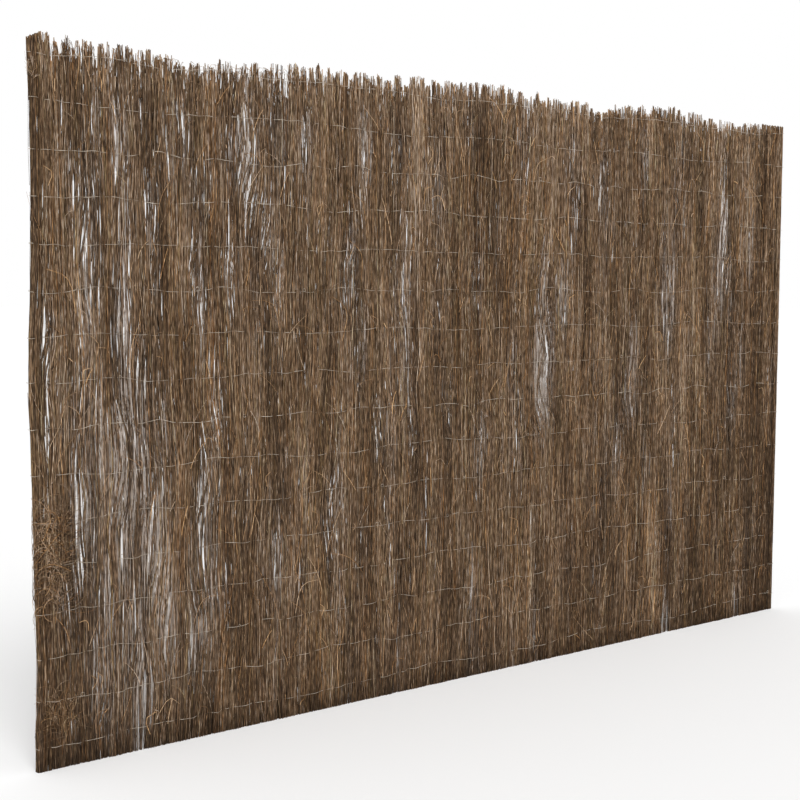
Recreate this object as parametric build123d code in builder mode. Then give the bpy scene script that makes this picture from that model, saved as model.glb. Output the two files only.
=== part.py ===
from build123d import *
import os
import random

# Brushwood screen: a mat of thin heather twigs, bound by rows of galvanised wire.
# Millimetres. +X runs along the screen, +Z up, and the face of the screen looks towards -Y.
# The origin is at the middle of the cut bottom edge.

# Mat
mat_width = 3000.0
mat_height = 1800.0  # to the line of the twig tips
crest_thickness = 20.0  # through the fullest bundles
crest_variation = 2.5  # how much lower a crest may be, on each face
valley_thickness = 13.0  # where two bundles meet
bundle_pitch = 50.0  # mean width of a bundle
bundle_unevenness = 0.3  # how far a width strays from the mean, as a share of it

# Tips at the top
finger_pitch = 25.0  # width of one group of tips
tip_scatter = 14.0  # how far a tip may stop below the line
tip_swell = [  # place along the half width, and how far the line rises there
    (-1.00, 14.0),
    (-0.87, 18.0),
    (-0.70, 0.0),
    (-0.57, 4.0),
    (-0.40, 24.0),
    (-0.28, 12.0),
    (0.00, 30.0),
    (0.13, 14.0),
    (0.24, 15.0),
    (0.33, -8.0),
    (0.42, 16.0),
    (0.59, 22.0),
    (0.73, 2.0),
    (1.00, 6.0),
]
slot_width_min = 5.0  # opening between two groups of tips
slot_width_max = 13.0
split_depth_min = 6.0  # openings inside a bundle
split_depth_max = 30.0
notch_depth_min = 14.0  # openings between two bundles
notch_depth_max = 56.0
left_tuft_rise = 8.0  # the first bundle is one closed tuft that stands this much above the line
left_tuft_slant = 19.0  # and is lower by this much at the very end
plain_end_width = 95.0  # at the right end the top is cut clean

# The widest gaps: place along the half width, height of the middle, length and width
main_gaps = [
    (-0.967, 1100.0, 180.0, 13.0),
    (-0.967, 870.0, 130.0, 10.0),
    (-0.900, 1105.0, 170.0, 9.0),
    (-0.893, 1275.0, 100.0, 12.0),
    (-0.907, 640.0, 130.0, 13.0),
    (-0.833, 1120.0, 200.0, 11.0),
    (-0.840, 770.0, 300.0, 12.0),
    (-0.780, 540.0, 120.0, 10.0),
    (-0.787, 745.0, 130.0, 10.0),
    (-0.740, 270.0, 160.0, 12.0),
    (-0.707, 1695.0, 120.0, 10.0),
    (-0.693, 1490.0, 90.0, 11.0),
    (-0.593, 1590.0, 100.0, 14.0),
    (-0.340, 1350.0, 130.0, 9.0),
    (-0.273, 810.0, 180.0, 9.0),
    (0.007, 730.0, 130.0, 11.0),
    (0.093, 1010.0, 90.0, 16.0),
    (0.173, 840.0, 260.0, 13.0),
    (0.353, 1540.0, 160.0, 12.0),
    (0.447, 840.0, 170.0, 14.0),
    (0.780, 1430.0, 240.0, 11.0),
    (0.760, 1230.0, 130.0, 11.0),
]

# Gaps between bundles, which go right through as well
gaps_per_valley_left = 2.1  # mean number at the left end
gaps_per_valley_right = 0.5  # mean number at the right end
gap_length_min = 70.0
gap_length_max = 250.0
gap_width_min = 3.0
gap_width_max = 8.0
gap_lean = 5.0  # how far one end of a gap may stand aside of the other
gap_margin = 35.0  # twigs left whole below and above each gap
gap_apart = 16.0  # twigs left whole beside a main gap

# Binding wires
wire_diameter = 1.4
wire_clearance = 0.3  # between a wire and the fullest bundles
wire_pitch = 114.0  # from row to row
bottom_wire_height = 59.0

# Worked out from the sizes above
half_width = mat_width / 2
bundle_count = round(mat_width / bundle_pitch)
wire_rows = int((mat_height - bottom_wire_height) / wire_pitch) + 1
wire_offset = crest_thickness / 2 + wire_clearance + wire_diameter / 2  # from the middle plane
highest_tip = mat_height + max(rise for place, rise in tip_swell) + left_tuft_rise
growth = random.Random(41)


def bundle_edges():
    """The places along X where one bundle meets the next, from end to end."""
    widths = [1 + bundle_unevenness * growth.uniform(-1, 1) for _ in range(bundle_count)]
    scale = mat_width / sum(widths)
    edges = [-half_width]
    for width in widths[:-1]:
        edges.append(edges[-1] + width * scale)
    return edges + [half_width]


def ridge_points(edges, side):
    """Valley and crest points of one face, from left to right; side is -1 at the front, 1 at the back."""
    points = []
    for left, right in zip(edges, edges[1:]):
        crest = crest_thickness / 2 - crest_variation * growth.random()
        points.append((left, side * valley_thickness / 2))
        points.append(((left + right) / 2, side * crest))
    return points + [(half_width, side * valley_thickness / 2)]


def swell(x):
    """How far the line of tips rises at x, straight from one given place to the next."""
    share = max(-1, min(1, x / half_width))
    for (start, low), (end, high) in zip(tip_swell, tip_swell[1:]):
        if share <= end:
            return low + (high - low) * (share - start) / (end - start)


def tip_line(edges):
    """The ragged top, from left to right: blunt groups of tips with a pointed slot after each."""
    points = []
    for left, right in zip(edges, edges[1:]):
        line = mat_height + swell((left + right) / 2)
        if right > half_width - plain_end_width:
            points.append((left, line))
            break
        if left == -half_width:
            points.append((left, line + left_tuft_rise - left_tuft_slant))
            points.append((right - slot_width_min, line + left_tuft_rise))
            points.append((right - slot_width_min / 2, line - notch_depth_max))
            continue
        fingers = max(1, round((right - left) / finger_pitch))
        step = (right - left) / fingers
        for finger in range(1, fingers + 1):
            end = left + finger * step
            slot = growth.uniform(slot_width_min, slot_width_max)
            depth = growth.uniform(split_depth_min, split_depth_max)
            if finger == fingers:
                depth = growth.uniform(notch_depth_min, notch_depth_max)
            points.append((end - step, line - tip_scatter * growth.random()))
            points.append((end - slot, line - tip_scatter * growth.random()))
            points.append((end - slot * growth.random(), line - tip_scatter - depth))
    return points + [(half_width, line)]


def wide_gaps():
    """Foot, head and width of each main gap, leaning a little to either side."""
    gaps = []
    for place, middle, length, width in main_gaps:
        lean = gap_lean * growth.uniform(-1, 1)
        foot = (place * half_width - lean / 2, middle - length / 2)
        head = (place * half_width + lean / 2, middle + length / 2)
        gaps.append((foot, head, width))
    return gaps


def valley_gaps(edges, taken):
    """Gaps between bundles: a valley is shared out so that no two meet, and taken gaps stay clear."""
    gaps = []
    for valley in edges[1:-1]:
        share = (valley + half_width) / mat_width
        mean = gaps_per_valley_left + share * (gaps_per_valley_right - gaps_per_valley_left)
        count = int(mean + growth.random())
        room = (mat_height - tip_scatter - notch_depth_max) / max(count, 1)
        for index in range(count):
            longest = min(gap_length_max, room - 2 * gap_margin)
            length = min(longest, growth.uniform(gap_length_min, gap_length_max))
            foot = index * room + gap_margin + growth.random() * (room - 2 * gap_margin - length)
            lean = gap_lean * growth.uniform(-1, 1)
            width = growth.uniform(gap_width_min, gap_width_max)
            clear = True
            for start, end, taken_width in taken:
                beside = abs(valley - (start[0] + end[0]) / 2) - taken_width / 2 - width / 2 < gap_apart
                level = foot < end[1] + gap_margin and foot + length > start[1] - gap_margin
                if beside and level:
                    clear = False
            if clear:
                gaps.append(((valley - lean / 2, foot), (valley + lean / 2, foot + length), width))
    return gaps


def lens(foot, head, width):
    """A gap as it is seen from the front: two arcs that meet at its foot and its head."""
    middle_x = (foot[0] + head[0]) / 2
    middle_z = (foot[1] + head[1]) / 2
    with BuildLine(mode=Mode.PRIVATE) as outline:
        ThreePointArc(foot, (middle_x - width / 2, middle_z), head)
        ThreePointArc(head, (middle_x + width / 2, middle_z), foot)
    return make_face(outline.edges(), mode=Mode.PRIVATE)


edges = bundle_edges()
front_ridges = ridge_points(edges, -1)
back_ridges = ridge_points(edges, 1)
tips = tip_line(edges)
gaps = wide_gaps()
gaps += valley_gaps(edges, gaps)
os.makedirs("parts", exist_ok=True)

# The mat: a ridged wall, trimmed to its front view of tips and gaps
with BuildPart() as mat:
    with BuildSketch(Plane.XY):
        with BuildLine():
            for ridges in (front_ridges, back_ridges):
                for valley, crest, next_valley in zip(ridges[:-1:2], ridges[1::2], ridges[2::2]):
                    ThreePointArc(valley, crest, next_valley)
            Line(front_ridges[0], back_ridges[0])
            Line(front_ridges[-1], back_ridges[-1])
        make_face()
    extrude(amount=highest_tip)
    with BuildSketch(Plane.XZ):
        with BuildLine():
            Polyline((-half_width, 0), *tips, (half_width, 0), close=True)
        make_face()
        add([lens(*gap) for gap in gaps], mode=Mode.SUBTRACT)
    extrude(amount=crest_thickness, both=True, mode=Mode.INTERSECT)
mat.part.label = "brushwood_mat"
export_step(mat.part, "parts/brushwood_mat.step")

# The wires: in each row one lies across the face and one across the back, from end to end
for row in range(wire_rows):
    height = bottom_wire_height + row * wire_pitch
    for face, offset in (("front", -wire_offset), ("back", wire_offset)):
        with BuildPart() as wire:
            with BuildSketch(Plane((-half_width, offset, height), z_dir=(1, 0, 0))):
                Circle(wire_diameter / 2)
            extrude(amount=mat_width)
        wire.part.label = f"{face}_wire_{row + 1:02d}"
        export_step(wire.part, f"parts/{wire.part.label}.step")

print(bundle_count, "bundles,", len(gaps), "gaps,", wire_rows, "rows of wire")
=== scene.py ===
# %% [markdown]
# # A brushwood screen
# A brushwood screen is a mat of dry heather: thousands of thin twigs stood side by side and bound
# by rows of galvanised wire. The solid part gives its true size, its ridges, its ragged top and its
# larger gaps. This lesson grows the twigs themselves inside that solid, and weaves the wires over them.

# %% Load the solid part
import math

import bpy
import numpy as np
from mathutils import Euler, Matrix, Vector
from mathutils.bvhtree import BVHTree


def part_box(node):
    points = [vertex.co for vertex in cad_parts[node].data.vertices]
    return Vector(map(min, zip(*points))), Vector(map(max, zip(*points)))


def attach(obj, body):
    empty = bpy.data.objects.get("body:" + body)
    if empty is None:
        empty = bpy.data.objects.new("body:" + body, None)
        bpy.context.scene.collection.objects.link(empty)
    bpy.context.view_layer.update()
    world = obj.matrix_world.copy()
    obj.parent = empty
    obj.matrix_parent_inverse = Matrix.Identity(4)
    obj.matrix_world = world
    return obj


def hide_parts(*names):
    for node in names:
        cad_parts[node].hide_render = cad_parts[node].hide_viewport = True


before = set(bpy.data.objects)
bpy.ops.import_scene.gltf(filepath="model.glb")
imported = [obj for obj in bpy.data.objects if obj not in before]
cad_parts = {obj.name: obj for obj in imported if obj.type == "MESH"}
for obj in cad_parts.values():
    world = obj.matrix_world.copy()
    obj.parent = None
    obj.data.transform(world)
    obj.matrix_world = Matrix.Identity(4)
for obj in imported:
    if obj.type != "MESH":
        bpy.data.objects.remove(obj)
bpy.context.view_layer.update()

# %% [markdown]
# ## The camera
# The four corners of the screen in the photograph are enough to find where the camera stood. It was
# on the left, at about chest height, turned towards the screen and tipped down a little. The focal
# length is kept in pixels of an 800 pixel wide picture, because that is how it was found.

# %% Camera
IMAGE_PIXELS = 800
FOCAL_PIXELS = 1470.3
CAMERA_PLACE = (-3.091, -3.325, 1.221)
CAMERA_TURN = math.radians(-39.728)
CAMERA_DIP = math.radians(4.556)
CAMERA_ROLL = math.radians(0.307)

lens_data = bpy.data.cameras.new("camera")
lens_data.lens = FOCAL_PIXELS / IMAGE_PIXELS * lens_data.sensor_width
camera = bpy.data.objects.new("camera", lens_data)
aim = Euler((math.pi / 2 - CAMERA_DIP, 0, CAMERA_TURN)).to_matrix().to_4x4()
camera.matrix_world = Matrix.Translation(CAMERA_PLACE) @ aim @ Matrix.Rotation(CAMERA_ROLL, 4, "Z")
bpy.context.scene.collection.objects.link(camera)
bpy.context.scene.camera = camera
print("lens, mm:", round(lens_data.lens, 2))

# %% [markdown]
# ## Reading the solid
# The twigs have to keep the solid's form, so the solid is measured rather than copied out by hand.
# Rays shot through it on a fine grid show where it is open, rays from above give the line of the
# tips, and rays near the foot give how thick each bundle is on either face.

# %% Measure the mat
ACROSS = 0.0015  # from ray to ray along the screen
UPWARD = 0.015  # from row to row of rays
FOOT_RAYS = 0.02  # height at which the bundles are measured, below every gap
FAR = 5.0  # where rays start, well clear of the screen

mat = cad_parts["brushwood_mat"]
mat_low, mat_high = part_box("brushwood_mat")
surface = BVHTree.FromPolygons(
    [v.co for v in mat.data.vertices], [p.vertices for p in mat.data.polygons]
)
columns = np.arange(mat_low.x + ACROSS / 2, mat_high.x, ACROSS)
rows = np.arange(mat_low.z + UPWARD / 2, mat_high.z, UPWARD)
width = mat_high.x - mat_low.x


def struck(start, way):
    """The point where a ray from start meets the mat, or None where it passes."""
    return surface.ray_cast(start, way)[0]


tip_line = np.array([struck((x, 0, FAR), (0, 0, -1)).z for x in columns])
front_half = np.array([-struck((x, -FAR, FOOT_RAYS), (0, 1, 0)).y for x in columns])
back_half = np.array([struck((x, FAR, FOOT_RAYS), (0, -1, 0)).y for x in columns])
solid = np.array([[struck((x, -FAR, z), (0, 1, 0)) is not None for x in columns] for z in rows], float)
print("rays:", solid.size, "open share:", round(1 - solid.mean(), 4))
print("tips from", round(tip_line.min(), 3), "to", round(tip_line.max(), 3))

# %% [markdown]
# ## Where the wood is thin
# Light comes through the mat at its gaps, and beside a gap the wood is thin too. There are wider thin
# zones, which show as pale upright streaks, and many small thin places, and at the top the tips part
# into tufts. Each could be modelled by itself, but here they all lower one grid of numbers, the share
# of wood at each height and column, so that every layer of twigs can follow the same grid.

# %% Waves and means
TAU = 2 * math.pi
WAVE_PEAK = 1.5  # a sum of waves seldom passes this many times its usual size

growth = np.random.default_rng(20)


def draw_waves(count, shortest, longest, slant):
    """Wave numbers along x and z and a phase for each wave; slant is how much a wave turns upward."""
    number = TAU / growth.uniform(shortest, longest, count)
    upward = number * slant * growth.uniform(-1, 1, count)
    return number, upward, growth.uniform(0, TAU, count)


def wave_sum(waves, x, z):
    """The sum of the sines of the waves at each x and z, divided so that it runs from about -1 to 1."""
    number, upward, phase = waves
    angle = x[..., None] * number + z[..., None] * upward + phase
    return np.sin(angle).sum(-1) / math.sqrt(len(number) / 2) / WAVE_PEAK


def spread_over(values, reach, step, axis):
    """The mean of values within reach to either side along one axis of the grid."""
    span = max(1, round(reach / step))
    edge = [(0, 0), (0, 0)]
    edge[axis] = (span, span)
    total = np.cumsum(np.pad(values, edge, mode="edge"), axis=axis)
    first = np.arange(values.shape[axis])
    return (np.take(total, first + 2 * span, axis) - np.take(total, first, axis)) / (2 * span)


# %% Wood beside the gaps
GAP_HALO = (0.02, 0.04)  # how far the thin wood reaches beside a gap, across and along
HALO_GAIN = (4.0, 6.0)  # how thin it is there, at the left end and at the right

solid = np.maximum(solid, rows[:, None] >= tip_line)  # above the tips nothing pushes
halo = spread_over(spread_over(1 - solid, GAP_HALO[0], ACROSS, 1), GAP_HALO[0], ACROSS, 1)
halo = spread_over(halo, GAP_HALO[1], UPWARD, 0)
wood = solid * (1 - np.linspace(*HALO_GAIN, len(columns)) * halo)
print("wood left beside the gaps:", round(wood.mean(), 3))

# %% Thin zones and pale streaks
HAZE_ZONES = [  # where the wood is thin over a wider patch: x, z, width, height and the share left
    (-1.23, 0.32, 0.30, 0.60, 0.18),
    (-1.20, 0.74, 0.24, 0.50, 0.02),
    (-1.34, 1.05, 0.09, 0.50, 0.50),
    (-1.36, 0.66, 0.08, 0.40, 0.25),
    (-1.02, 0.36, 0.14, 0.45, 0.25),
    (-1.24, 1.10, 0.09, 0.40, 0.50),
    (-1.10, 1.56, 0.10, 0.26, 0.45),
    (-0.90, 1.58, 0.10, 0.26, 0.50),
    (-0.79, 0.40, 0.10, 0.30, 0.45),
    (-0.58, 0.58, 0.08, 0.20, 0.50),
    (0.00, 0.70, 0.07, 0.24, 0.35),
    (0.27, 0.98, 0.12, 0.34, 0.02),
    (0.39, 0.30, 0.08, 0.16, 0.35),
    (0.57, 1.42, 0.08, 0.24, 0.35),
    (0.69, 0.91, 0.10, 0.28, 0.00),
    (0.87, 1.20, 0.12, 0.42, 0.05),
    (0.87, 0.34, 0.11, 0.24, 0.30),
    (1.16, 1.22, 0.11, 0.55, 0.40),
    (1.23, 0.82, 0.09, 0.20, 0.30),
    (1.31, 1.34, 0.06, 0.28, 0.30),
]
PALE_STREAKS = [  # narrow streaks with hardly any wood: x, z, width and height
    (-1.25, 0.78, 0.018, 0.60),
    (-1.21, 0.62, 0.016, 0.40),
    (-1.17, 0.50, 0.016, 0.50),
    (-1.14, 0.86, 0.014, 0.40),
    (-1.12, 0.36, 0.018, 0.34),
    (-1.06, 0.30, 0.020, 0.40),
    (-0.96, 0.68, 0.014, 0.50),
    (0.25, 1.10, 0.018, 0.36),
    (0.28, 1.00, 0.020, 0.40),
    (0.30, 0.82, 0.016, 0.30),
    (0.68, 0.94, 0.018, 0.26),
    (0.71, 0.86, 0.014, 0.22),
    (0.85, 1.24, 0.018, 0.36),
    (0.88, 1.14, 0.016, 0.30),
    (1.15, 1.38, 0.016, 0.34),
]
STREAKY = (0.3, 1.3)  # how much of a zone's thinness is left between its pale streaks, and in them


def thinned(wood, places, pattern=1.0):
    """Lowers the share of wood round each place: a soft ellipse, deepest at its middle, times a pattern."""
    for x, z, across, along, left in places:
        apart = ((columns - x) / (across / 2))[None, :] ** 2 + ((rows - z) / (along / 2))[:, None] ** 2
        wood *= 1 - (1 - left) * np.exp(-(apart**2)) * pattern
    return wood


streak_waves = draw_waves(count=24, shortest=0.010, longest=0.035, slant=0.03)
streaked = np.clip(0.5 + wave_sum(streak_waves, columns[None, :], rows[:, None]), 0, 1)
thin_zones = HAZE_ZONES + [(*streak, 0.0) for streak in PALE_STREAKS]
wood = thinned(wood, thin_zones, STREAKY[0] + (STREAKY[1] - STREAKY[0]) * streaked)
print("wood left in and round", len(thin_zones), "zones:", round(wood.mean(), 3))

# %% Parted tips
PARTING = 0.95  # how far the tips part into clumps
PARTING_REACH = (0.06, 0.20)  # how far down that reaches, from place to place
PARTING_SHARP = 1.5  # above 1 makes the partings wider
LEFT_BLOCK = 0.047  # the first bundle is one block
RIGHT_BLOCK = 0.11  # and the last ones are cut clean

between_blocks = (columns > mat_low.x + LEFT_BLOCK) & (columns < mat_high.x - RIGHT_BLOCK)
below_tip = np.maximum(tip_line - rows[:, None], 0)
parting_waves = draw_waves(count=30, shortest=0.012, longest=0.040, slant=0.02)
parted = np.clip(PARTING_SHARP * wave_sum(parting_waves, columns[None, :], rows[:, None]), 0, 1)
reach_waves = draw_waves(count=8, shortest=0.12, longest=0.5, slant=0)
reach = np.interp(wave_sum(reach_waves, columns, 0 * columns), [-1, 1], PARTING_REACH)
wood *= 1 - PARTING * between_blocks * parted * np.exp(-((below_tip / reach) ** 2))
print("wood left with parted tips:", round(wood.mean(), 3))

# %% Small thin places
CLEAR_PLACES = 40  # see-through places besides the gaps of the solid
FAINT_PLACES = 120  # places that are only a little thin
CROWDED_LEFT = 1.6  # above 1 puts more of them towards the left end
CLOSE_ENDS = (0.10, 0.05)  # at the left and right ends the twigs stand close
CLOSE_EDGES = (0.05, 0.10)  # and so they do at the foot and the top
BARE = 0.10  # wood left in a gap, so that a stray twig may cross it


def random_thin(count, heights, across, along, left):
    """Thin places: x crowds to the left as a power of an even draw, and the height, the size and the
    share of wood that is left are even draws."""
    x = mat_low.x + CLOSE_ENDS[0] + (width - sum(CLOSE_ENDS)) * growth.random(count) ** CROWDED_LEFT
    z = growth.uniform(*heights, count)
    sizes = [growth.uniform(*limits, count) for limits in (across, along, left)]
    return np.stack([x, z, *sizes], 1)


anywhere = (CLOSE_EDGES[0], mat_high.z - CLOSE_EDGES[1])
clear = random_thin(CLEAR_PLACES, anywhere, across=(0.02, 0.05), along=(0.10, 0.30), left=(0.1, 0.4))
wood = thinned(wood, clear)
faint = random_thin(FAINT_PLACES, anywhere, across=(0.03, 0.08), along=(0.12, 0.40), left=(0.4, 0.75))
wood = thinned(wood, faint)
wood = np.maximum(wood, BARE)
print("wood left in all:", round(wood.mean(), 3))

# %% [markdown]
# ## Where the twigs stand
# Twigs aren't cut away at a gap: they bend round it. So a twig is given a place along the width as if
# the mat were even, and a table then moves it to where wood really is. At each height the table adds
# up the wood from left to right, compared with the wood close by, and reads the sum backwards: a gap
# adds nothing, so no twig lands in it, and its neighbours stand closer. A twig bends slowly, so each
# row of the table is evened out with its neighbours. Finer twigs turn aside less than stout ones.

# %% The tables of places
REACH = 0.09  # how far a gap pushes its neighbours
SMOOTHING = 12  # times that each row is evened out with the rows above and below
TWIG_SHY = 0.50  # how far single twigs turn aside from thin places: less than the strands in the core
FINE_SHY = 0.15  # the fine ones hardly do, so they veil the thin places with a haze


def standing_table(wood):
    """For each height and each even place along the width, the x where that twig stands.
    The running sum of wood over nearby wood grows with x; read backwards it gives x for each share."""
    share = np.cumsum(wood / spread_over(wood, REACH, ACROSS, 1), axis=1)
    share *= width / share[:, -1:]
    table = np.array([np.interp(columns - mat_low.x, line, columns) for line in share])
    for _ in range(SMOOTHING):
        above = np.vstack([table[1:], table[-1:]])
        below = np.vstack([table[:1], table[:-1]])
        table = (above + 2 * table + below) / 4
    return table


core_table = standing_table(wood)
twig_table = standing_table(wood**TWIG_SHY)
fine_table = standing_table(wood**FINE_SHY)
print("table, rows and columns:", core_table.shape)

# %% Reading the tables
thinness = spread_over(spread_over(1 - wood, GAP_HALO[0], ACROSS, 1), GAP_HALO[1], UPWARD, 0)


def nearest_column(x):
    """Number of the column closest to each x."""
    return np.clip(np.rint((x - columns[0]) / ACROSS).astype(int), 0, len(columns) - 1)


def thin_at(x, z):
    """How thin the wood is about each x and z, from 0 to 1, read at the nearest column and row."""
    row = np.clip(np.rint((z - rows[0]) / UPWARD).astype(int), 0, len(rows) - 1)
    return thinness[row, nearest_column(x)]


def at_column(values, x):
    """Reads a line of values kept for each column at any x."""
    return np.interp(x, columns, values)


def stand(table, x, z):
    """The x where a twig with even place x stands at height z: the nearest column, between two rows."""
    column = nearest_column(x)
    row = np.clip((z - rows[0]) / UPWARD, 0, len(rows) - 1.001)  # leaves a row above
    below = row.astype(int)
    part = row - below
    placed = (1 - part) * table[below, column] + part * table[below + 1, column]
    return placed + x - columns[column]


print("thinness from", round(thinness.min(), 3), "to", round(thinness.max(), 3))

# %% [markdown]
# ## The lie of the twigs
# Neighbouring twigs lean the same way, as they grew in one clump and were laid in one handful. A few
# long waves, drawn once, give that shared drift. The left end of the screen isn't quite straight
# either: it bows out at half height and in near the foot, and the sway dies away along the screen.

# %% Shared drift
DRIFT = 0.006  # how far the waves carry a twig sideways
END_CALM = 0.08  # near the ends the drift fades out
LEFT_BOWS = [  # how far the left end bows in, at what height, and over what height
    (0.004, 0.90, 5.00),
    (0.006, 1.55, 0.28),
    (-0.009, 0.95, 0.18),
    (0.007, 0.28, 0.13),
]
BOW_REACH = 0.2  # how far along the screen it is felt

drift_waves = draw_waves(count=7, shortest=0.25, longest=1.2, slant=0.9)
band_waves = draw_waves(count=14, shortest=0.12, longest=0.9, slant=0.5)  # these two are for tones
clump_waves = draw_waves(count=26, shortest=0.05, longest=0.20, slant=0.25)


def drift(x, z):
    """Shared sideways shift: the waves, fading out at both ends, and the bows of the left end, each a
    bell over the height."""
    to_end = np.minimum(x - mat_low.x, mat_high.x - x)
    calm = np.clip(to_end / END_CALM, 0, 1)
    near_left = np.exp(-(((x - mat_low.x) / BOW_REACH) ** 2))
    bow = sum(size * np.exp(-(((z - middle) / fade) ** 2)) for size, middle, fade in LEFT_BOWS)
    return DRIFT * wave_sum(drift_waves, x, z) * calm + near_left * bow


left_end = drift(np.full(len(rows), mat_low.x), rows)
print("left end bows, metres:", round(left_end.min(), 4), "to", round(left_end.max(), 4))

# %% [markdown]
# ## From middle lines to a mesh
# A twig is a profile carried along a path. With all paths in one array, of twig by ring by x, y, z,
# the whole heap of twigs is one sum: each ring's middle, plus its radius times the cosine and sine
# round the path. Each twig has only a few dozen faces, as there are thousands of them.

# %% Tubes as whole arrays
def unit(vectors):
    """Each vector divided by its length."""
    return vectors / np.linalg.norm(vectors, axis=-1, keepdims=True)


def tube_points(paths, radii, sides, turn, guide):
    """Rings round paths: P + r (cos a N + sin a B), where N is the part of the guide axis square to
    the path's direction T and B is T x N. turn starts the angle a of each tube."""
    along = unit(np.gradient(paths, axis=1))
    normal = unit(np.array(guide) - along * (along @ np.array(guide))[..., None])
    other = np.cross(along, normal)
    angle = (turn[:, None] + TAU * np.arange(sides) / sides)[:, None, :, None]
    ring = np.cos(angle) * normal[:, :, None, :] + np.sin(angle) * other[:, :, None, :]
    return paths[:, :, None, :] + radii[:, :, None, None] * ring


def tube_faces(count, rings, sides):
    """Corner numbers of the side quads and of the two end polygons of every tube. A quad joins a point
    and the next one round its ring to the same two points of the ring above."""
    point = np.arange(count * rings * sides).reshape(count, rings, sides)
    after = np.roll(point, -1, axis=2)
    quads = np.stack([point[:, :-1], after[:, :-1], after[:, 1:], point[:, 1:]], -1)
    return quads.reshape(-1, 4), np.vstack([point[:, 0, ::-1], point[:, -1]])


# %% A flat map for the finish
BAKE_CELL = (0.06, 0.94)  # part of its cell of the map that a tube fills
CELL_LENGTH = 4  # a cell is this many times as long as it is high


def bake_map(count, rings, sides):
    """A map with a cell for each tube: u runs along the tube, v round it, and its ends lie at the rims."""
    across = math.ceil(math.sqrt(count / CELL_LENGTH))
    down = math.ceil(count / across)
    cell = np.stack([np.arange(count) % across, np.arange(count) // across], 1)
    low, high = BAKE_CELL
    u = low + (high - low) * np.arange(rings) / (rings - 1)
    v = low + (high - low) * np.arange(sides + 1) / sides
    spot = np.stack(np.meshgrid(u, v, indexing="ij"), -1)
    quads = np.stack([spot[:-1, :-1], spot[:-1, 1:], spot[1:, 1:], spot[1:, :-1]], 2).reshape(1, -1, 2)
    round_v = low + (high - low) * np.arange(sides) / (sides - 1)
    lift = low / 2 * (np.arange(sides) % 2)
    first = np.stack([low / 4 + lift, round_v[::-1]], 1)[None]
    last = np.stack([1 - low / 4 - lift, round_v], 1)[None]
    scale = np.array([across, down])
    spread = [(cell[:, None, :] + part) / scale for part in (quads, first, last)]
    return np.concatenate([part.reshape(-1, 2) for part in spread])


# %% Meshes
def put_mesh(name, points, quads, ends, corner_map, values):
    """Writes a mesh from whole arrays: points, faces, the bake map and named values on the points."""
    mesh = bpy.data.meshes.new(name)
    corners = np.concatenate([quads.ravel(), ends.ravel()]).astype(np.int32)
    sizes = np.concatenate([np.full(len(quads), 4), np.full(len(ends), ends.shape[1])]).astype(np.int32)
    starts = np.concatenate([[0], np.cumsum(sizes)[:-1]]).astype(np.int32)
    mesh.vertices.add(len(points))
    mesh.vertices.foreach_set("co", points.astype(np.float32).ravel())
    mesh.loops.add(len(corners))
    mesh.loops.foreach_set("vertex_index", corners)
    mesh.polygons.add(len(sizes))
    mesh.polygons.foreach_set("loop_start", starts)
    mesh.polygons.foreach_set("use_smooth", np.repeat([True, False], [len(quads), len(ends)]))
    mesh.update(calc_edges=True)
    layer = mesh.uv_layers.new(name="OFBake")
    layer.uv.foreach_set("vector", corner_map.astype(np.float32).ravel())
    for label, value in values.items():
        attribute = mesh.attributes.new(label, "FLOAT", "POINT")
        attribute.data.foreach_set("value", value.astype(np.float32).ravel())
    mesh.validate()
    return mesh


# %% Pieces
made_triangles = 0


def add_piece(name, mesh, material, slot, *nodes):
    """Makes an object of a mesh, gives it its finish and ties it to the frame."""
    mesh.materials.append(material)
    piece = bpy.data.objects.new(name, mesh)
    bpy.context.scene.collection.objects.link(piece)
    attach(piece, "root")
    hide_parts(*nodes)
    return piece


def add_tubes(name, paths, radii, sides, values, material, slot, *nodes, guide=(0, 1, 0)):
    """One piece of many tubes. values holds numbers for each ring of each tube, spread over its points."""
    global made_triangles
    count, rings = radii.shape
    points = tube_points(paths, radii, sides, growth.uniform(0, TAU, count), guide)
    points[..., 2] = np.maximum(points[..., 2], mat_low.z)  # the foot is cut flat
    quads, ends = tube_faces(count, rings, sides)
    spread = {label: np.repeat(value.ravel(), sides) for label, value in values.items()}
    mesh = put_mesh(name, points.reshape(-1, 3), quads, ends, bake_map(count, rings, sides), spread)
    triangles = len(quads) * 2 + len(ends) * (sides - 2)
    made_triangles += triangles
    print(f"{name}: {count} tubes, {triangles} triangles, {made_triangles} so far")
    return add_piece(name, mesh, material, slot, *nodes)


# %% [markdown]
# ## Finishes
# Heather bark is a dull brown that runs from nearly black to straw, grey where it has weathered and
# orange where it has peeled. A material for each kind would repeat itself, so each twig carries three
# numbers, its tone, its warmth and how far it is bleached, and one material serves them all. That
# last number is painted light: twigs where the mat is thin are turned pale grey to stand for the
# light seen through the gaps. Streaks along the twig come from noise that is stretched upright, in a
# node group that the wires use too, for their dull patches.

# %% Node helpers
def add_node(tree, kind, place, **settings):
    """A new node at a place, with its own settings."""
    node = tree.nodes.new(kind)
    node.location = place
    for label, value in settings.items():
        setattr(node, label, value)
    return node


def set_inputs(node, values):
    """Sets sockets of a node, by name or number, to plain values."""
    for socket, value in values.items():
        node.inputs[socket].default_value = value


def link_nodes(tree, *links):
    """Makes links, each given as a node, its output, the next node and its input."""
    for giver, output, taker, socket in links:
        tree.links.new(giver.outputs[output], taker.inputs[socket])


def new_finish(name):
    """A new material, its tree of nodes and its shader."""
    material = bpy.data.materials.new(name)
    material.use_nodes = True
    return material, material.node_tree, material.node_tree.nodes["Principled BSDF"]


# %% Weathered streaks
STREAK_DETAIL = 1.5  # how much fine noise lies over the coarse


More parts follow.
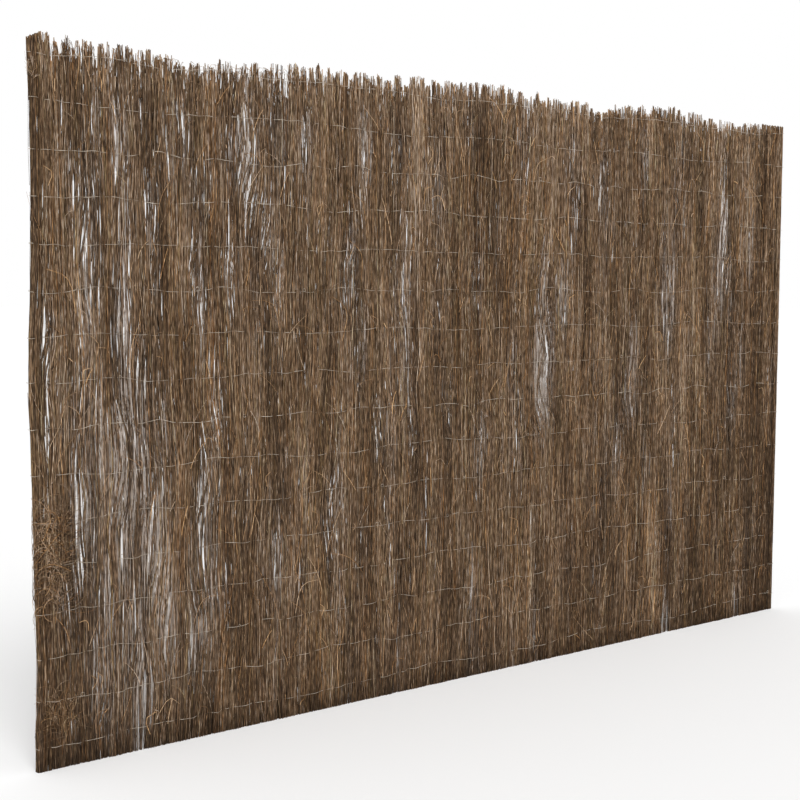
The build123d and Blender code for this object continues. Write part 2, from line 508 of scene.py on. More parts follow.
def streak_group():
    """A node group: noise stretched along one axis, put out as a value about zero and as a height."""
    group = bpy.data.node_groups.new("weathered_streaks", "ShaderNodeTree")
    face = group.interface
    face.new_socket("Stretch", in_out="INPUT", socket_type="NodeSocketVector")
    face.new_socket("Depth", in_out="INPUT", socket_type="NodeSocketFloat")
    face.new_socket("Shift", in_out="OUTPUT", socket_type="NodeSocketFloat")
    face.new_socket("Height", in_out="OUTPUT", socket_type="NodeSocketFloat")
    inside = add_node(group, "NodeGroupInput", (-700, 0))
    outside = add_node(group, "NodeGroupOutput", (400, 0))
    place = add_node(group, "ShaderNodeTexCoord", (-700, 250))
    scaled = add_node(group, "ShaderNodeVectorMath", (-450, 150), operation="MULTIPLY")
    noise = add_node(group, "ShaderNodeTexNoise", (-250, 150))
    set_inputs(noise, {"Scale": 1, "Detail": STREAK_DETAIL})
    middle = add_node(group, "ShaderNodeMath", (-50, 100), operation="SUBTRACT")
    set_inputs(middle, {1: 0.5})
    deep = add_node(group, "ShaderNodeMath", (150, 50), operation="MULTIPLY")
    link_nodes(
        group,
        (place, "Object", scaled, 0),
        (inside, "Stretch", scaled, 1),
        (scaled, 0, noise, "Vector"),
        (noise, "Fac", middle, 0),
        (middle, 0, deep, 0),
        (inside, "Depth", deep, 1),
        (deep, 0, outside, "Shift"),
        (noise, "Fac", outside, "Height"),
    )
    return group


streaks = streak_group()
print("node group:", streaks.name)

# %% Tones of bark
BARK_TONES = [  # from dark to pale
    (0.00, (0.042, 0.026, 0.014)),
    (0.30, (0.128, 0.080, 0.043)),
    (0.55, (0.250, 0.167, 0.096)),
    (0.80, (0.430, 0.325, 0.215)),
    (1.00, (0.620, 0.520, 0.400)),
]
# Grey of weathered bark. Where the mat is thin it is also painted light: twigs there take these pale greys
# to stand for the light seen through the gaps.
BLEACHED_AND_LIT_TONES = [
    (0.00, (0.090, 0.075, 0.065)),
    (0.40, (0.270, 0.216, 0.172)),
    (0.70, (0.500, 0.435, 0.390)),
    (1.00, (0.720, 0.665, 0.635)),
]
TINTS = [  # by the twig's warmth: olive, grey brown, brown and orange
    (0.00, (1.06, 1.02, 0.80)),
    (0.10, (1.00, 0.99, 1.08)),
    (0.35, (1.12, 0.98, 0.87)),
    (1.00, (1.40, 0.96, 0.50)),
]


def tone_ramp(tree, place, tones):
    """A ramp of colours, each at its own place from 0 to 1."""
    ramp = add_node(tree, "ShaderNodeValToRGB", place)
    while len(ramp.color_ramp.elements) < len(tones):
        ramp.color_ramp.elements.new(0.5)
    for element, (tone, colour) in zip(ramp.color_ramp.elements, tones):
        element.position = tone
        element.color = (*colour, 1)
    return ramp


# %% Bark
BARK_STREAKS = (420, 420, 40)  # how fine the streaks are across a twig and along it
BARK_SHIFT = 1.9  # how far a streak moves the tone
BARK_BUMP = {"Strength": 0.5, "Distance": 0.0008}
BARK_SURFACE = {"Roughness": 0.85, "Specular IOR Level": 0.2}


def bark():
    """Bark: the twig's tone, moved by streaks, picks a brown on one ramp, tinted by its warmth, and a
    grey on another. A number on each twig mixes the two. It is painted light, turning twigs pale grey
    where the mat is thin and light comes through."""
    material, tree, shader = new_finish("heather_bark")
    set_inputs(shader, BARK_SURFACE)
    tone = add_node(tree, "ShaderNodeAttribute", (-1100, 200), attribute_name="tone")
    warmth = add_node(tree, "ShaderNodeAttribute", (-1100, -100), attribute_name="warmth")
    bleach_and_glow = add_node(tree, "ShaderNodeAttribute", (-450, 500), attribute_name="bleach_and_glow")
    streak = add_node(tree, "ShaderNodeGroup", (-1100, 450), node_tree=streaks)
    set_inputs(streak, {"Stretch": BARK_STREAKS, "Depth": BARK_SHIFT})
    total = add_node(tree, "ShaderNodeMath", (-900, 300), operation="ADD", use_clamp=True)
    brown = tone_ramp(tree, (-700, 300), BARK_TONES)
    grey = tone_ramp(tree, (-700, 0), BLEACHED_AND_LIT_TONES)
    tint = tone_ramp(tree, (-700, -250), TINTS)
    tinted = add_node(tree, "ShaderNodeMix", (-400, 250), data_type="RGBA", blend_type="MULTIPLY")
    set_inputs(tinted, {"Factor": 1})
    weathered_and_lit = add_node(tree, "ShaderNodeMix", (-200, 250), data_type="RGBA", clamp_factor=True)
    bump = add_node(tree, "ShaderNodeBump", (-200, -150))
    set_inputs(bump, BARK_BUMP)
    link_nodes(
        tree,
        (tone, "Fac", total, 0),
        (streak, "Shift", total, 1),
        (total, 0, brown, "Fac"),
        (total, 0, grey, "Fac"),
        (warmth, "Fac", tint, "Fac"),
        (brown, "Color", tinted, "A"),
        (tint, "Color", tinted, "B"),
        (bleach_and_glow, "Fac", weathered_and_lit, "Factor"),
        (tinted, "Result", weathered_and_lit, "A"),
        (grey, "Color", weathered_and_lit, "B"),
        (weathered_and_lit, "Result", shader, "Base Color"),
        (streak, "Height", bump, "Height"),
        (bump, "Normal", shader, "Normal"),
    )
    return material


heather_bark = bark()
print("finish:", heather_bark.name)

# %% [markdown]
# ## Dull zinc
# The binding wire is steel with a coat of zinc, which goes dull and patchy outdoors. Plain grey metal
# would shine all along it, so the same streaks, laid along the wire, shift its colour and roughness.

# %% Galvanised wire
ZINC_PATCHES = (40, 300, 300)  # how fine the patches are along a wire and across it
ZINC_TONES = [(0.3, (0.34, 0.27, 0.20)), (0.7, (0.70, 0.62, 0.52))]
ZINC_ROUGH = {"To Min": 0.35, "To Max": 0.65}
ZINC_BUMP = {"Strength": 0.4, "Distance": 0.0003}
ZINC_SURFACE = {"Metallic": 0.6}


def galvanised():
    """Zinc gone dull: a grey metal whose colour and roughness shift in patches along the wire."""
    material, tree, shader = new_finish("galvanised_wire")
    set_inputs(shader, ZINC_SURFACE)
    streak = add_node(tree, "ShaderNodeGroup", (-900, 200), node_tree=streaks)
    set_inputs(streak, {"Stretch": ZINC_PATCHES})
    colour = tone_ramp(tree, (-450, 250), ZINC_TONES)
    rough = add_node(tree, "ShaderNodeMapRange", (-450, -50))
    set_inputs(rough, ZINC_ROUGH)
    bump = add_node(tree, "ShaderNodeBump", (-450, -350))
    set_inputs(bump, ZINC_BUMP)
    link_nodes(
        tree,
        (streak, "Height", colour, "Fac"),
        (streak, "Height", rough, "Value"),
        (streak, "Height", bump, "Height"),
        (bump, "Normal", shader, "Normal"),
        (colour, "Color", shader, "Base Color"),
        (rough, "Result", shader, "Roughness"),
    )
    return material


zinc_wire = galvanised()
print("finish:", zinc_wire.name)

# %% [markdown]
# ## Growing the twigs
# Every twig has an even place along the width, a depth in the mat, a height, a length, a thickness and
# a lean, all drawn at random. What reaches below the foot is cut there, as the mat is trimmed, and
# what reaches above the tips is cut a little below the line of the solid. Layers share the work:
# in the core, thick strands from foot to tip keep the light out, each in place of a handful of twigs
# that nobody sees, and finer twigs lie over them on both faces.

# %% Tips
CLUMP = 0.019  # mean width of a clump of tips
CLUMP_UNEVEN = 0.4  # how far its edges stray, as a share of that
CLUMP_DROP = 0.022  # how far the lowest clumps stop below the line of the solid
SLIT = 0.0055  # half width of the pointed slit between two clumps
SLIT_DEPTH = (0.015, 0.085)
TIP_RISE = 0.010  # the longest tips stand this much above the line of the solid


def draw_clumps():
    """Edges of the clumps of tips from left to right, the drop of each clump and the depth of each slit.
    Most drops are small, as each is the cube of an even draw."""
    count = int(width / CLUMP)
    stray = growth.uniform(-CLUMP_UNEVEN, CLUMP_UNEVEN, count + 1)
    edges = mat_low.x + width * (np.arange(count + 1) + stray) / count
    return edges, CLUMP_DROP * growth.random(count + 2) ** 3, growth.uniform(*SLIT_DEPTH, count + 1)


clump_edges, clump_drops, slit_depths = draw_clumps()
print("clumps of tips:", len(clump_edges) - 1)


def tips_at(x):
    """Height of the tips at x: the solid's line less the drop of the clump, and deeper in a slit, which
    narrows evenly from its mouth to its foot."""
    clump = np.searchsorted(clump_edges, x)
    drop = clump_drops[clump]
    for edge in (clump - 1, clump):
        edge = np.clip(edge, 0, len(clump_edges) - 1)
        inside = np.clip(1 - np.abs(x - clump_edges[edge]) / SLIT, 0, 1)
        drop = np.maximum(drop, slit_depths[edge] * inside)
    block = (x < mat_low.x + LEFT_BLOCK) | (x > mat_high.x - RIGHT_BLOCK)
    return at_column(tip_line, x) + np.where(block, 0, TIP_RISE - drop)


# %% Where twigs are put
SHORTEST = 0.05  # a twig keeps at least this length when it is cut
SPARSE = 2.6  # above 0 leaves fewer twigs where the wood is thin
THINNEST_FIRST = 2.5  # above 0 puts more of the haze where the wood is thinnest
LOOSE_TOP = 0.05  # above the top wire the tips are loose, and lie closer to the middle


def side_by_side(count):
    """Places from end to end of the mat, one at random in each of as many even steps."""
    return mat_low.x + width * (np.arange(count) + growth.random(count)) / count


def scattered(count, length):
    """Place, middle height and length of twigs that lie at all heights and may reach past foot or tips.
    Half as many again are drawn, and those that stay are picked by how much wood there is about them."""
    drawn = count * 3 // 2
    place = side_by_side(drawn)
    full = growth.uniform(*length, drawn)
    middle = growth.uniform(-full / 2 + SHORTEST, mat_high.z + full / 2 - SHORTEST)
    chance = (1 - thin_at(place, middle)) ** SPARSE
    kept = np.sort(growth.choice(drawn, count, replace=False, p=chance / chance.sum()))
    return place[kept], middle[kept], full[kept]


def in_a_row(count, height, length):
    """Place, middle height and length of twigs that all have their middle at one height."""
    return side_by_side(count), np.full(count, height), growth.uniform(*length, count)


def in_thin_places(count, length):
    """Place, middle height and length of twigs drawn where the wood is thin, more where it is thinner."""
    below = rows[:, None] < tip_line - LOOSE_TOP
    chance = (below * (1 - wood) ** THINNEST_FIRST).ravel()
    spot = growth.choice(chance.size, count, p=chance / chance.sum())
    x = columns[spot % len(columns)] + GAP_HALO[0] * growth.uniform(-1, 1, count)
    return x, rows[spot // len(columns)], growth.uniform(*length, count)


# %% How a twig lies
END_STEADY = 0.04  # near the ends twigs stand straighter
TIP_RAGGED = 0.008  # how far twigs of one clump differ
OVER = 0.0012  # how far a twig may stand out beyond the bundle
LOOSE_SHARE = 0.85  # how close to the middle they lie at the tips, as a share
STEADIEST = 0.1  # how much a twig at the very end still leans and swings, as a share
SWINGS = (0.3, 1.3)  # how wide the sine of a twig is, as a share of its wander
SWING_LENGTH = (0.15, 0.5)  # and how long


def lay_twigs(
    spots, rings, thickness, depth, lean, wander, kink, table, below_tips=(0.0, 0.03), narrowing=0.6
):
    """Middle lines and radii of twigs. Along a twig z is even from foot to tip. Its x is its even place,
    plus lean, a slow sine, the shared drift and a small kink at each ring, moved by the table. Its y
    is a share of the half thickness of the mat there, plus a sine that is half as wide and a little
    longer."""
    place, middle, full = (value[:, None] for value in spots)
    count = len(place)
    loose = np.clip(np.minimum(place - mat_low.x, mat_high.x - place) / END_STEADY, STEADIEST, 1)
    slope = loose * lean * growth.standard_normal((count, 1))
    swing = loose * wander * growth.uniform(*SWINGS, (count, 1))
    pace = TAU / growth.uniform(*SWING_LENGTH, (count, 1))
    phase = growth.uniform(0, TAU, (count, 1))

    def standing(z):
        """The x of each twig at the heights z."""
        even = place + slope * (z - middle) + swing * np.sin(pace * z + phase)
        return stand(table, even + drift(even, z), z)

    ragged = growth.uniform(*below_tips, (count, 1)) + TIP_RAGGED * growth.random((count, 1)) ** 2
    limit = tips_at(standing(np.full((count, 1), mat_high.z))) - ragged
    foot = np.clip(middle - full / 2, mat_low.z, limit - SHORTEST)
    head = np.maximum(np.minimum(middle + full / 2, limit), foot + SHORTEST)
    z = foot + (head - foot) * np.linspace(0, 1, rings)
    x = standing(z) + kink * growth.standard_normal(z.shape)
    share = growth.uniform(*depth, (count, 1))
    half = np.where(share < 0, at_column(front_half, x), at_column(back_half, x))
    across = thickness[0] * np.exp(thickness[1] * growth.standard_normal((count, 1)))
    weave = 0.5 * swing * np.sin(0.8 * pace * z + 2 * phase)
    y = np.clip(share * (half - across / 2) + weave, across / 2 - half - OVER, half + OVER - across / 2)
    y = y * np.interp(at_column(tip_line, x) - z, [0, LOOSE_TOP], [LOOSE_SHARE, 1])
    grown = np.clip((z - middle) / full + 0.5, 0, 1)
    return np.stack([x, y, z], -1), across / 2 * (1 - narrowing * grown)


# %% How twigs are coloured
BAND = 0.072  # broad patches of tone along the mat
CLUMPED = 0.09  # narrower ones
THIN_PLACE_GLOW = 0.15  # painted light: how far twigs turn pale grey in the thinnest places, where light comes through
PALER = 0.26  # how much paler the pale ones are
DARKER = 0.16  # and how much darker the dark ones
ORANGE_WARMTH = (0.4, 0.45)  # the least warmth of an orange twig, and how much may be added
PLAIN_WARMTH = 0.35  # the most that any other has
DARKEST = 0.02
SHADE_FOOT_TO_TOP = 0.07  # painted shade: the foot is darker than the top, as the light falls from above
FOOT_SHADE = (0.10, 0.07)  # painted shade: darker by this much at the ground, up to about this height
DARK_PATCHES = [  # x, z, half width, half height and how much darker
    (-1.50, 0.90, 0.05, 2.00, 0.12),
    (-1.46, 0.54, 0.06, 0.14, 0.14),
    (-1.32, 0.03, 0.25, 0.08, 0.08),
    (1.20, 0.28, 0.55, 0.35, 0.07),
    (1.40, 0.90, 0.20, 2.00, 0.04),
    (-1.36, 1.70, 0.18, 0.20, 0.06),
    (1.395, 0.90, 0.007, 2.00, 0.25),
    (1.470, 0.90, 0.008, 2.00, 0.25),
    (1.440, 0.90, 0.060, 2.00, 0.06),
]


def colour_twigs(paths, base, spread, pale, dark, orange, glow_bleached=0.0):
    """Tone, warmth and greying for each ring. Tone is a base, the band and the clump that the ring lies
    in, and the twig's own draw, with painted shade towards the foot. Shares of the twigs are pale, dark
    or orange. Where the wood is thin they are turned pale grey, some twigs more than others. This is
    painted light, standing for the light that comes through the mat there."""
    count, rings = paths.shape[:2]
    x, z = paths[..., 0], paths[..., 2]
    kind = growth.random(count)
    own = spread * growth.standard_normal(count)
    own = own + np.where(kind < pale, PALER, 0) - np.where(kind > 1 - dark, DARKER, 0)
    patches = BAND * wave_sum(band_waves, x, z) + CLUMPED * wave_sum(clump_waves, x, z)
    tone = base + own[:, None] + patches
    for place, height, half_width, half_height, darker in DARK_PATCHES:
        apart = ((x - place) / half_width) ** 2 + ((z - height) / half_height) ** 2
        tone = tone - darker * np.exp(-apart)
    # Painted shade: darker towards the foot, and darker still close to the ground.
    tone = tone + SHADE_FOOT_TO_TOP * (z / mat_high.z - 0.5) - FOOT_SHADE[0] * np.exp(-z / FOOT_SHADE[1])
    warm = growth.random(count)
    least, more = ORANGE_WARMTH
    plain = PLAIN_WARMTH * growth.random(count)
    warmth = np.where(warm < orange, least + more * warm / (orange or 1), plain)
    # Painted light: pale grey where the mat is thin, standing for the light seen through it.
    bleach_and_glow = np.maximum(THIN_PLACE_GLOW * thin_at(x, z) * growth.uniform(0, 2, (count, 1)), glow_bleached)
    warmth = np.repeat(warmth[:, None], rings, 1)
    return {"tone": np.clip(tone, DARKEST, 1), "warmth": warmth, "bleach_and_glow": bleach_and_glow}


# %% One layer of twigs
TWIG_SIDES = 3
LONGER = 3.0  # more than the mat is high, so that such a twig is cut at the foot and at the tips


def add_twigs(name, paths, radii, tones):
    """Colours twigs and makes them one piece, which stands for the solid mat."""
    values = colour_twigs(paths, **tones)
    add_tubes(name, paths, radii, TWIG_SIDES, values, heather_bark, "twigs", "brushwood_mat")


def grow_layer(name, spots, tones, **lie):
    """Lays twigs at their spots and adds them as one piece."""
    add_twigs(name, *lay_twigs(spots, **lie), tones)


# %% Core
UPRIGHT = dict(rings=22, lean=0.0, wander=0.002, kink=0.0006, table=core_table)

# The core's darker tone is painted shade: it deepens the dark between the twigs on the faces.
for name, core_depth in (("front_core", (-0.7, -0.4)), ("back_core", (0.4, 0.7))):
    grow_layer(
        name, in_a_row(480, mat_high.z / 2, length=(2.6, LONGER)), thickness=(0.0080, 0.12),
        depth=core_depth, below_tips=(0.02, 0.06), narrowing=0.45, **UPRIGHT,
        tones=dict(base=0.27, spread=0.08, pale=0.0, dark=0.2, orange=0.03),
    )

# %% Twigs at both ends
END_BAND = 0.012  # they stand within this of the end
END_TWIGS = 40  # at each end

end_places = np.concatenate([
    growth.uniform(mat_low.x, mat_low.x + END_BAND, END_TWIGS),
    growth.uniform(mat_high.x - END_BAND, mat_high.x, END_TWIGS),
])
grow_layer(
    "end_twigs", (end_places, np.full(2 * END_TWIGS, mat_high.z / 2), np.full(2 * END_TWIGS, LONGER)),
    thickness=(0.0035, 0.2), depth=(-1.0, 1.0), below_tips=(0.0, 0.02), narrowing=0.3, **UPRIGHT,
    tones=dict(base=0.36, spread=0.10, pale=0.0, dark=0.2, orange=0.05),
)

# %% Stout twigs on the face
grow_layer(
    "face_twigs", scattered(5000, length=(0.4, 0.9)), rings=7, thickness=(0.0022, 0.3),
    depth=(-1.0, -0.6), lean=0.012, wander=0.004, kink=0.0009, table=twig_table,
    tones=dict(base=0.40, spread=0.14, pale=0.09, dark=0.25, orange=0.10),
)

# %% Fine twigs on the face
grow_layer(
    "fine_twigs", scattered(6000, length=(0.15, 0.5)), rings=6, thickness=(0.0015, 0.3),
    depth=(-1.05, -0.7), lean=0.024, wander=0.004, kink=0.0011, table=fine_table,
    below_tips=(0.0, 0.04),
    tones=dict(base=0.43, spread=0.16, pale=0.11, dark=0.23, orange=0.14),
)

# %% Twigs on the back
grow_layer(
    "back_twigs", scattered(4300, length=(0.4, 0.9)), rings=6, thickness=(0.0025, 0.3),
    depth=(0.6, 1.0), lean=0.018, wander=0.005, kink=0.0012, table=twig_table,
    tones=dict(base=0.45, spread=0.13, pale=0.06, dark=0.2, orange=0.10),
)

# %% Fine twigs on the back
grow_layer(
    "back_veil", scattered(3400, length=(0.15, 0.5)), rings=5, thickness=(0.0017, 0.3),
    depth=(0.7, 1.05), lean=0.035, wander=0.005, kink=0.0015, table=fine_table,
    below_tips=(0.0, 0.04),
    tones=dict(base=0.48, spread=0.14, pale=0.08, dark=0.15, orange=0.12),
)

# %% A haze of the finest twigs across the thin places
# Their pale grey is partly painted light: fine twigs, coloured to stand for the light seen through the mat
# in the thin places.
grow_layer(
    "haze_twigs", in_thin_places(5000, length=(0.14, 0.40)), rings=3, thickness=(0.0013, 0.25),
    depth=(-0.5, 0.5), lean=0.02, wander=0.003, kink=0.001, table=fine_table,
    below_tips=(0.02, 0.06), narrowing=0.3,
    tones=dict(base=0.85, spread=0.14, pale=0.1, dark=0.1, orange=0.04, glow_bleached=0.7),
)

# %% The closed tuft at the left end
BLOCK_TWIGS = 120
BLOCK_LENGTH = (0.2, 0.5)

block_places = growth.uniform(mat_low.x, mat_low.x + LEFT_BLOCK, BLOCK_TWIGS)
block_lengths = growth.uniform(*BLOCK_LENGTH, BLOCK_TWIGS)
grow_layer(
    "left_tuft", (block_places, np.full(BLOCK_TWIGS, mat_high.z), block_lengths), rings=4,
    thickness=(0.0030, 0.2), depth=(-0.9, 0.9), lean=0.01, wander=0.001, kink=0.0006, table=twig_table,
    below_tips=(0.0, 0.003), narrowing=0.1,
    tones=dict(base=0.36, spread=0.12, pale=0.03, dark=0.3, orange=0.06),
)

# %% Tufts of tips
grow_layer(
    "tip_tufts", in_a_row(2400, mat_high.z, length=(0.16, 0.34)), rings=4, thickness=(0.0026, 0.2),
    depth=(-0.9, 0.9), lean=0.03, wander=0.002, kink=0.0008, table=twig_table,
    below_tips=(0.0, 0.004), narrowing=0.25,
    tones=dict(base=0.40, spread=0.13, pale=0.06, dark=0.25, orange=0.16),
)

# %% [markdown]
# ## Strays
# On the face lie bits that came loose: short twigs at all angles, some hooked at the end, some curled,
# and a few pale straws. A stray is a path whose direction turns as it goes: it starts at an angle,
# bends evenly, and may turn sharply near its end. Adding up short steps along that direction gives
# its middle line.

# %% How a stray lies
STRAY_LIFT = (0.0008, 0.003)  # how far a stray lies in front of the bundle
STRAY_NARROWING = 0.5  # how much thinner it is at its end, as a share
STRAY_OUT = 0.006  # how far it may stick out at the left end


def lay_strays(count, rings, length, thickness, angle, bend, hook, hooked, area):
    """Middle lines and radii of strays inside an area of x and z. The direction is the start angle plus
    bend times the share t of the length, and a hooked one turns on past the middle; steps add up to
    a path."""
    (x_low, x_high), (z_low, z_high) = area
    t = np.linspace(0, 1, rings)
    start = angle * growth.standard_normal(count)
    turn = bend * growth.standard_normal(count)
    sharp = hook * growth.choice([-1, 1], count) * (growth.random(count) < hooked)
    way = start[:, None] + turn[:, None] * t + sharp[:, None] * np.clip(3 * t - 1.5, 0, 1)
    step = growth.uniform(*length, count)[:, None] / (rings - 1)
    x = growth.uniform(x_low, x_high, count)[:, None] + np.cumsum(step * np.sin(way), axis=1)
    x = x + np.maximum(mat_low.x - STRAY_OUT - x.min(1), 0)[:, None]
    x = x - np.maximum(x.max(1) - mat_high.x, 0)[:, None]
    z = growth.uniform(z_low, z_high, count)[:, None] + np.cumsum(step * np.cos(way), axis=1)
    z = np.clip(z, mat_low.z, at_column(tip_line, x) - TIP_RAGGED)
    y = -at_column(front_half, x) - growth.uniform(*STRAY_LIFT, count)[:, None]
    across = thickness[0] * np.exp(thickness[1] * growth.standard_normal(count))[:, None]
    return np.stack([x, y, z], -1), across / 2 * (1 - STRAY_NARROWING * t)


# %% Kinds of strays
WHOLE_FACE = ((mat_low.x + 0.02, mat_high.x - 0.05), (0.02, mat_high.z - 0.08))  # areas of x and z
LEFT_EDGE = ((-1.50, -1.41), (0.40, 0.64))
LEFT_FOOT = ((-1.47, -1.39), (0.08, 0.17))
LEFT_TOP = ((-1.505, -1.485), (1.70, 1.735))
LEFT_TIPS = ((-1.43, -0.7), (1.76, 1.785))
STRAY_KINDS = {
    # pieces, rings, length, thickness, angle, bend, hook, share hooked, area, tone, share of orange
    "loose_twigs": (900, 5, (0.04, 0.15), (0.0013, 0.2), 0.25, 0.4, 0.9, 0.3, WHOLE_FACE, 0.60, 0.5),
    "straws": (330, 6, (0.02, 0.09), (0.0020, 0.2), 0.3, 0.35, 1.6, 0.3, WHOLE_FACE, 0.82, 0.9),
    "long_straws": (45, 8, (0.08, 0.17), (0.0020, 0.2), 0.25, 0.5, 1.0, 0.2, WHOLE_FACE, 0.82, 0.9),
    "curls": (220, 9, (0.05, 0.13), (0.0014, 0.2), 0.9, 2.4, 0.8, 0.3, LEFT_EDGE, 0.55, 0.2),
    "tangle": (60, 9, (0.03, 0.09), (0.0013, 0.2), 0.9, 2.6, 0.8, 0.3, LEFT_FOOT, 0.50, 0.2),
    "fuzz": (30, 5, (0.015, 0.03), (0.0009, 0.2), 0.5, 0.8, 0.8, 0.3, LEFT_TOP, 0.95, 0.0),
    "hooked_tips": (80, 8, (0.03, 0.06), (0.0016, 0.2), 0.2, 0.4, 3.0, 0.9, LEFT_TIPS, 0.45, 0.4),
    "chips": (40, 3, (0.008, 0.02), (0.0028, 0.2), 0.5, 0.3, 0.0, 0.0, WHOLE_FACE, 0.75, 1.0),
}
for name, (count, rings, length, thickness, *shape, tone, orange) in STRAY_KINDS.items():
    paths, radii = lay_strays(count, rings, length, thickness, *shape)
    add_twigs(name, paths, radii, dict(base=tone, spread=0.12, pale=0.1, dark=0.05, orange=orange))

# %% [markdown]
# ## The wires
# In each row one wire runs over the face and one over the back. Between the bundles they are twisted
# together, so each wire dives in among the twigs every few centimetres and shows as a row of dashes,
# and longer stretches sink in too. A wire could be a curve with a bevel, but the same tubes serve:
# slow waves lift and lower it, dips take it in, and here and there it winds once round itself.

# %% Stitches
STITCH = 0.050  # mean distance from dip to dip
STITCH_DEPTH = 0.011
STITCH_UNEVEN = (0.5, 1.1)  # shares of that depth
STITCH_WIDTH = 0.011
SUNK = 0.009  # how far longer stretches sink in among the twigs


def stitch_dips(x):
    """How far the wire is drawn in at each x: a bell at every stitch, at uneven distances, or the upper
    half of a few waves where longer stretches sink in, whichever is more."""
    count = int(width / STITCH)
    places = mat_low.x + width * (np.arange(count) + growth.random(count)) / count
    depth = STITCH_DEPTH * growth.uniform(*STITCH_UNEVEN, count)
    apart = (x[:, None] - places) / STITCH_WIDTH
    slow = draw_waves(count=6, shortest=0.08, longest=0.30, slant=0)
    sunk = SUNK * np.clip(wave_sum(slow, x, 0 * x), 0, 1)
    return np.maximum((depth * np.exp(-(apart**2))).max(1), sunk)


# %% The path of a wire
WIRE_STEP = 0.008  # from ring to ring
WIRE_SAG = 0.006  # how far slow waves lift and lower a wire
WIRE_CRINKLE = 0.0012  # and how far short ones do
WIRE_BEND = [  # along the bent end of a wire: outwards from the end of the mat, through it, and up
    (-0.0010, -0.0095, 0.0000),
    (0.0018, -0.0050, 0.0005),
    (0.0022, 0.0010, 0.0010),
    (0.0008, 0.0080, 0.0020),
]


def wire_path(name):
    """Middle line of a wire: its row, lifted and lowered by waves, drawn in at the stitches. On the face
    both ends are bent round the last bundle towards the back."""
    wire_low, wire_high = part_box(name)
    outward = (wire_low.y + wire_high.y) / 2
    x = np.arange(wire_low.x, wire_high.x + WIRE_STEP / 2, WIRE_STEP)
    slow = draw_waves(count=5, shortest=0.15, longest=0.9, slant=0)
    short = draw_waves(count=6, shortest=0.04, longest=0.12, slant=0)
    sway = WIRE_SAG * wave_sum(slow, x, 0 * x) + WIRE_CRINKLE * wave_sum(short, x, 0 * x)
    z = (wire_low.z + wire_high.z) / 2 + sway
    y = outward - math.copysign(1, outward) * stitch_dips(x)
    x = x + drift(x, z)
    path = np.stack([x, y, z], 1)
    if outward < 0:
        bend = np.array(WIRE_BEND)
        left = np.array([x[0], 0, z[0]]) + bend * (-1, 1, 1)
        right = np.array([x[-1], 0, z[-1]]) + bend
        path = np.vstack([left[::-1], path[1:-1], right])
    return path


# %% Loops in a wire
LOOPS = 3  # small loops in a row of wire
LOOP_SIZE = (0.002, 0.006)
LOOP_RINGS = 8
LOOP_MARGIN = 6  # rings at both ends of a wire that stay without one
LOOP_LIFT = 0.0006  # how far they stand out before the row


def with_loops(path, outward):
    """Winds a wire once round at a few places: points on a circle are put in after the ring there."""
    turn = TAU * np.arange(1, LOOP_RINGS + 1) / (LOOP_RINGS + 1)
    places = np.sort(growth.integers(LOOP_MARGIN, len(path) - LOOP_MARGIN, LOOPS))
    for place in places[::-1]:
        size = growth.uniform(*LOOP_SIZE)
        loop = path[place] + size * np.stack([np.sin(turn), 0 * turn, 1 - np.cos(turn)], 1)
        loop[:, 1] = outward + math.copysign(LOOP_LIFT, outward)
        path = np.insert(path, place + 1, loop, axis=0)
    return path


# %% Wires
WIRE_SIDES = 3

wire_nodes = [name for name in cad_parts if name.startswith(("front_wire", "back_wire"))]
for name in sorted(wire_nodes):
    wire_low, wire_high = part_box(name)
    path = with_loops(wire_path(name), (wire_low.y + wire_high.y) / 2)[None]
    radii = np.full(path.shape[:2], (wire_high.z - wire_low.z) / 2)
    piece_name = name.replace("wire", "binding")
    add_tubes(piece_name, path, radii, WIRE_SIDES, {}, zinc_wire, "wire", name, guide=(0, 0, 1))

# %% [markdown]
# ## Floor and light
# The photograph is a cut-out on white. Here a white floor keeps the shadow, the sky that the camera
# sees is plain white, and the light itself is soft: a large lamp in front and above, and a pale sky.

# %% Floor
FLOOR_HALF = 60.0
FLOOR_WHITE = 0.9
floor_mesh = bpy.data.meshes.new("floor")
floor_corners = [(-1, -1, 0), (1, -1, 0), (1, 1, 0), (-1, 1, 0)]
floor_mesh.from_pydata(FLOOR_HALF * np.array(floor_corners), [], [(0, 1, 2, 3)])
floor_finish, _, floor_shader = new_finish("white_floor")
floor_colour = (FLOOR_WHITE, FLOOR_WHITE, FLOOR_WHITE, 1)
set_inputs(floor_shader, {"Base Color": floor_colour, "Roughness": 1, "Specular IOR Level": 0})
floor_mesh.materials.append(floor_finish)
floor = bpy.data.objects.new("floor", floor_mesh)
bpy.context.scene.collection.objects.link(floor)
print("floor, metres across:", 2 * FLOOR_HALF)

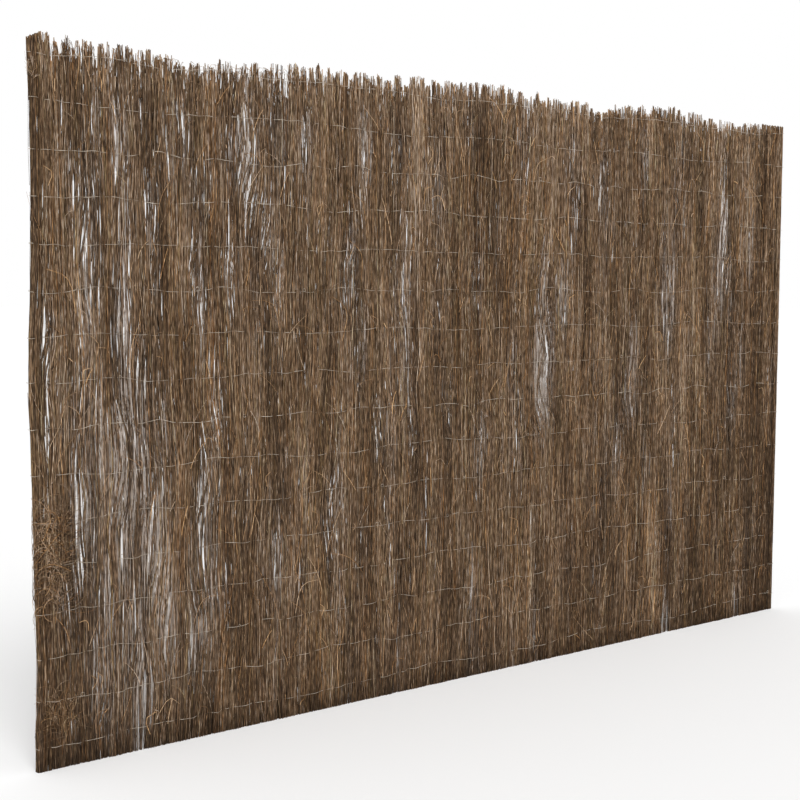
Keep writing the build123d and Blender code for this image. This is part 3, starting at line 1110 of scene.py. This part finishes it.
# %% Sky
WHITE = (1, 1, 1, 1)
SKY_LIGHT = 0.62


def white_sky():
    """The camera, gloss and glass see plain white; all else is lit by the same white, turned down."""
    world = bpy.data.worlds.new("white_sky")
    world.use_nodes = True
    tree = world.node_tree
    tree.nodes.clear()
    out = add_node(tree, "ShaderNodeOutputWorld", (400, 0))
    lit = add_node(tree, "ShaderNodeBackground", (-100, 150))
    set_inputs(lit, {"Color": WHITE, "Strength": SKY_LIGHT})
    seen = add_node(tree, "ShaderNodeBackground", (-100, 0))
    set_inputs(seen, {"Color": WHITE})
    path = add_node(tree, "ShaderNodeLightPath", (-500, 300))
    direct = add_node(tree, "ShaderNodeMath", (-300, 300), operation="MAXIMUM")
    through = add_node(tree, "ShaderNodeMath", (-100, 300), operation="MAXIMUM")
    mix = add_node(tree, "ShaderNodeMixShader", (150, 50))
    link_nodes(
        tree,
        (path, "Is Camera Ray", direct, 0),
        (path, "Is Glossy Ray", direct, 1),
        (direct, 0, through, 0),
        (path, "Is Transmission Ray", through, 1),
        (through, 0, mix, "Fac"),
        (lit, 0, mix, 1),
        (seen, 0, mix, 2),
        (mix, 0, out, "Surface"),
    )
    return world


bpy.context.scene.world = white_sky()
print("sky light:", SKY_LIGHT)

# %% Sun
SUN_HEIGHT = math.radians(48)
SUN_TURN = math.radians(-30)  # from straight ahead of the screen towards its left end
SUN_SOFT = math.radians(35)
FLOOR_GLOW = 1.02  # what the open floor should render as, a little over white

sun_data = bpy.data.lights.new("soft_sun", "SUN")
sun_data.angle = SUN_SOFT
sun_data.energy = (FLOOR_GLOW / FLOOR_WHITE - SKY_LIGHT) * math.pi / math.sin(SUN_HEIGHT)
soft_sun = bpy.data.objects.new("soft_sun", sun_data)
soft_sun.matrix_world = Euler((math.pi / 2 - SUN_HEIGHT, 0, SUN_TURN)).to_matrix().to_4x4()
bpy.context.scene.collection.objects.link(soft_sun)
bpy.context.scene.view_settings.view_transform = "Standard"
print("sun strength:", round(sun_data.energy, 2))

# %% Triangles
print("triangles:", made_triangles)
